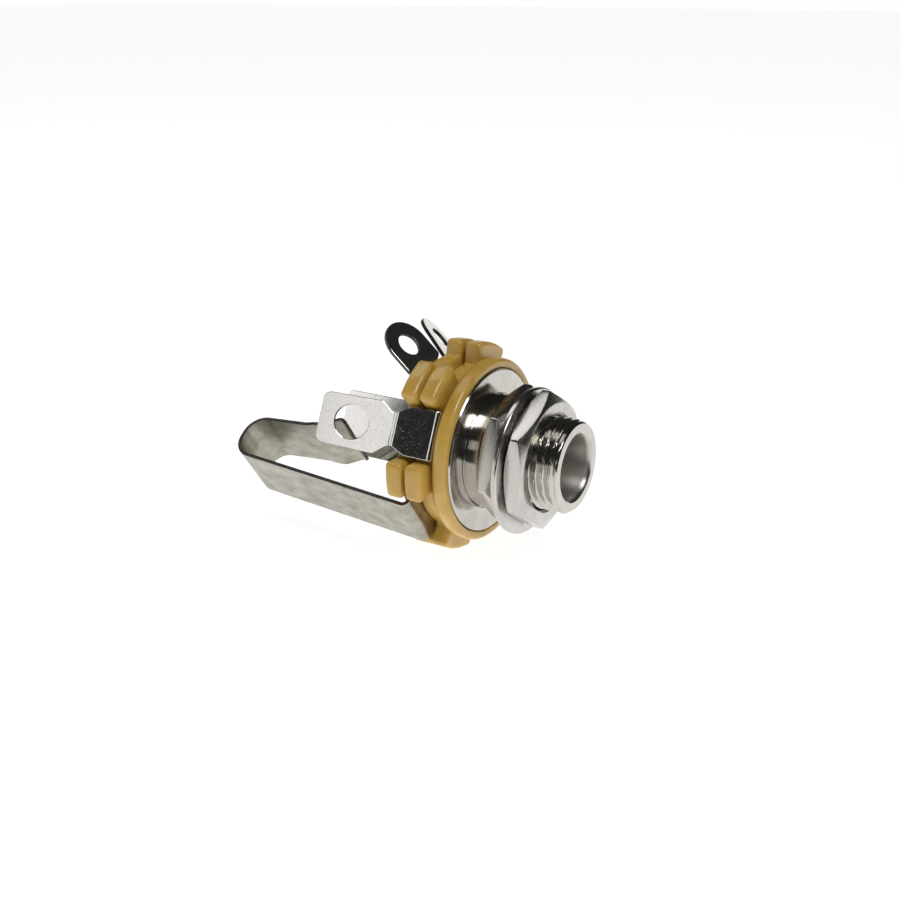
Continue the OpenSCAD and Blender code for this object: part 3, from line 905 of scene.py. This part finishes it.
# %% [markdown]
# The tip lug passes through the rear wafer and then leans out, so it has two bends. The sleeve lug
# lies behind the stack and has one. The shoulders, where a tab widens, are placed from the last
# bend: before it if the number is negative, past it if not.

# %% Solder lugs
LUG_R, LUG_X, LUG_RING_R = 7.9, -6.3, 6.4


def add_lug(name, node, ring, path, radii, lean, shoulders, length, angle):
    path = [(path[0][0], -ring[1])] + path
    bend = np.array(path[-1])
    slope = np.array((-math.sin(math.radians(lean)), math.cos(math.radians(lean))))
    line = bend_line(path + [tuple(bend + (length + LUG_W) * slope)], radii)
    hole_at = where(line, *(bend + length * slope))
    at_bend = where(line, *bend)
    marks = []
    for along, half in shoulders:
        past_bend = where(line, *(bend + along * slope))
        marks.append((at_bend + along if along < 0 else past_bend, half))
    mesh = bend_blank(name, lug_blank(ring, marks, hole_at), line, angle)
    add_piece(name, mesh, [bright_sheet, dull_and_shaded_edge], [node], "body", sharp=None)


add_lug("lug_tip", "tip_terminal", (5.45, CONTACT_R), [(TIP_X, LUG_R), (-7.05, LUG_R)],
        [0.3, 0.8], 45, [(0.1, 1.5), (0.75, LUG_W / 2)], 3.3, 8)
add_lug("lug_sleeve", "sleeve_lug", (HOLE_R, LUG_RING_R), [(LUG_X, LUG_RING_R + 1.3)],
        [0.6], 50, [(-0.8, 2.35), (-0.5, LUG_W / 2)], 4.5, -29)

# %% [markdown]
# Bright metal shows its surroundings, so the studio matters as much as the finish. The jack lies
# over a white floor. The floor glows a little, so that it stays white without strong lights, and it
# ends in front of the jack, so that the metal's lower sides also find something dark to show.

# %% Floor
FLOOR_Z, FLOOR_FRONT, FLOOR_SIZE, FLOOR_GLOW = -0.011, -0.068, 3.0, 0.92
floor_corners = [(x, y, FLOOR_Z) for x, y in ((-FLOOR_SIZE, FLOOR_FRONT), (FLOOR_SIZE, FLOOR_FRONT),
                                              (FLOOR_SIZE, FLOOR_SIZE), (-FLOOR_SIZE, FLOOR_SIZE))]
floor_mesh = bpy.data.meshes.new("floor")
floor_mesh.from_pydata(floor_corners, [], [(0, 1, 2, 3)])
floor_finish, floor_tree, floor_shader = start_finish("pale_floor", 0.0, (0.35, 0.35, 0.35), 0.7)
speck = cloud(floor_tree, stretched(floor_tree, object_place(floor_tree), (300, 300, 300)))
floor_tree.links.new(tint(floor_tree, speck, (0.345, 0.345, 0.34), (0.355, 0.355, 0.35)),
                     floor_shader.inputs["Base Color"])
floor_shader.inputs["Specular IOR Level"].default_value = 0.1
floor_shader.inputs["Emission Color"].default_value = (1, 1, 1, 1)
floor_shader.inputs["Emission Strength"].default_value = FLOOR_GLOW
floor_mesh.materials.append(floor_finish)
floor = bpy.data.objects.new("floor", floor_mesh)
bpy.context.scene.collection.objects.link(floor)
print("floor at", FLOOR_Z)

# %% [markdown]
# Four soft boxes make the highlights. A mirror shows a box only where it faces it, so each box
# stands where a bright face of the jack looks: front and left for the fingers, above for the edges
# of the plastic, and a strong key from the right for the nuts and the barrel. The strength is given
# as brightness, so a box can grow without growing brighter.

# %% Soft boxes
BOX_DISTANCE = 0.5


def soft_box(name, direction, size, radiance):
    data = bpy.data.lights.new(name, "AREA")
    data.shape = "RECTANGLE"
    data.size, data.size_y = size
    data.energy = radiance * math.pi * size[0] * size[1]
    toward = Vector(direction).normalized()
    across = (Vector((1, 0, 0)) - toward * toward.x).normalized()
    lamp = bpy.data.objects.new(name, data)
    turn = Matrix((across, toward.cross(across), toward)).transposed().to_4x4()
    lamp.matrix_world = Matrix.Translation(toward * BOX_DISTANCE) @ turn
    bpy.context.scene.collection.objects.link(lamp)
    print(name, "of", size)


soft_box("front_box", (0.22, -0.89, 0.40), (0.17, 0.14), 1.05)
soft_box("left_box", (-0.71, -0.62, 0.32), (0.11, 0.10), 1.2)
soft_box("top_box", (-0.49, 0.12, 0.86), (0.40, 0.20), 1.5)
soft_box("key_box", (0.45, -0.25, 0.86), (0.24, 0.20), 7.0)

# %% [markdown]
# Around all that is a dark room, which gives the metal its black parts, with a white band low on
# the left only. The camera itself sees plain white. An image of a studio would do the same, but
# a few numbers are easier to move until each dark and bright part of the jack is right.

# %% Surroundings
world = bpy.data.worlds.new("studio")
bpy.context.scene.world = world
world.use_nodes = True
sky = world.node_tree
sky_way = add(sky, "ShaderNodeTexCoord").outputs["Generated"]
toward = add(sky, "ShaderNodeSeparateXYZ", {"Vector": sky_way}).outputs
low = spread(sky, toward["Z"], 1.0, 0.0, 0.16, 0.24)
left = spread(sky, toward["X"], 1.0, 0.0, -0.25, 0.1)
band = add(sky, "ShaderNodeMath", {0: low, 1: left}, operation="MULTIPLY").outputs[0]
room = add(sky, "ShaderNodeValToRGB", {"Fac": band})
room.color_ramp.elements[0].color = (0.025, 0.025, 0.025, 1)
room.color_ramp.elements[1].color = (1.0, 0.99, 0.97, 1)
eye_ray = add(sky, "ShaderNodeLightPath").outputs["Is Camera Ray"]
shown = add(sky, "ShaderNodeMix", {0: eye_ray}, data_type="RGBA")
sky.links.new(room.outputs[0], shown.inputs[6])
shown.inputs[7].default_value = (1, 1, 1, 1)
sky.links.new(shown.outputs[2], sky.nodes["Background"].inputs["Color"])
bpy.context.scene.view_settings.view_transform = "Standard"
print("surroundings of", len(sky.nodes), "nodes")
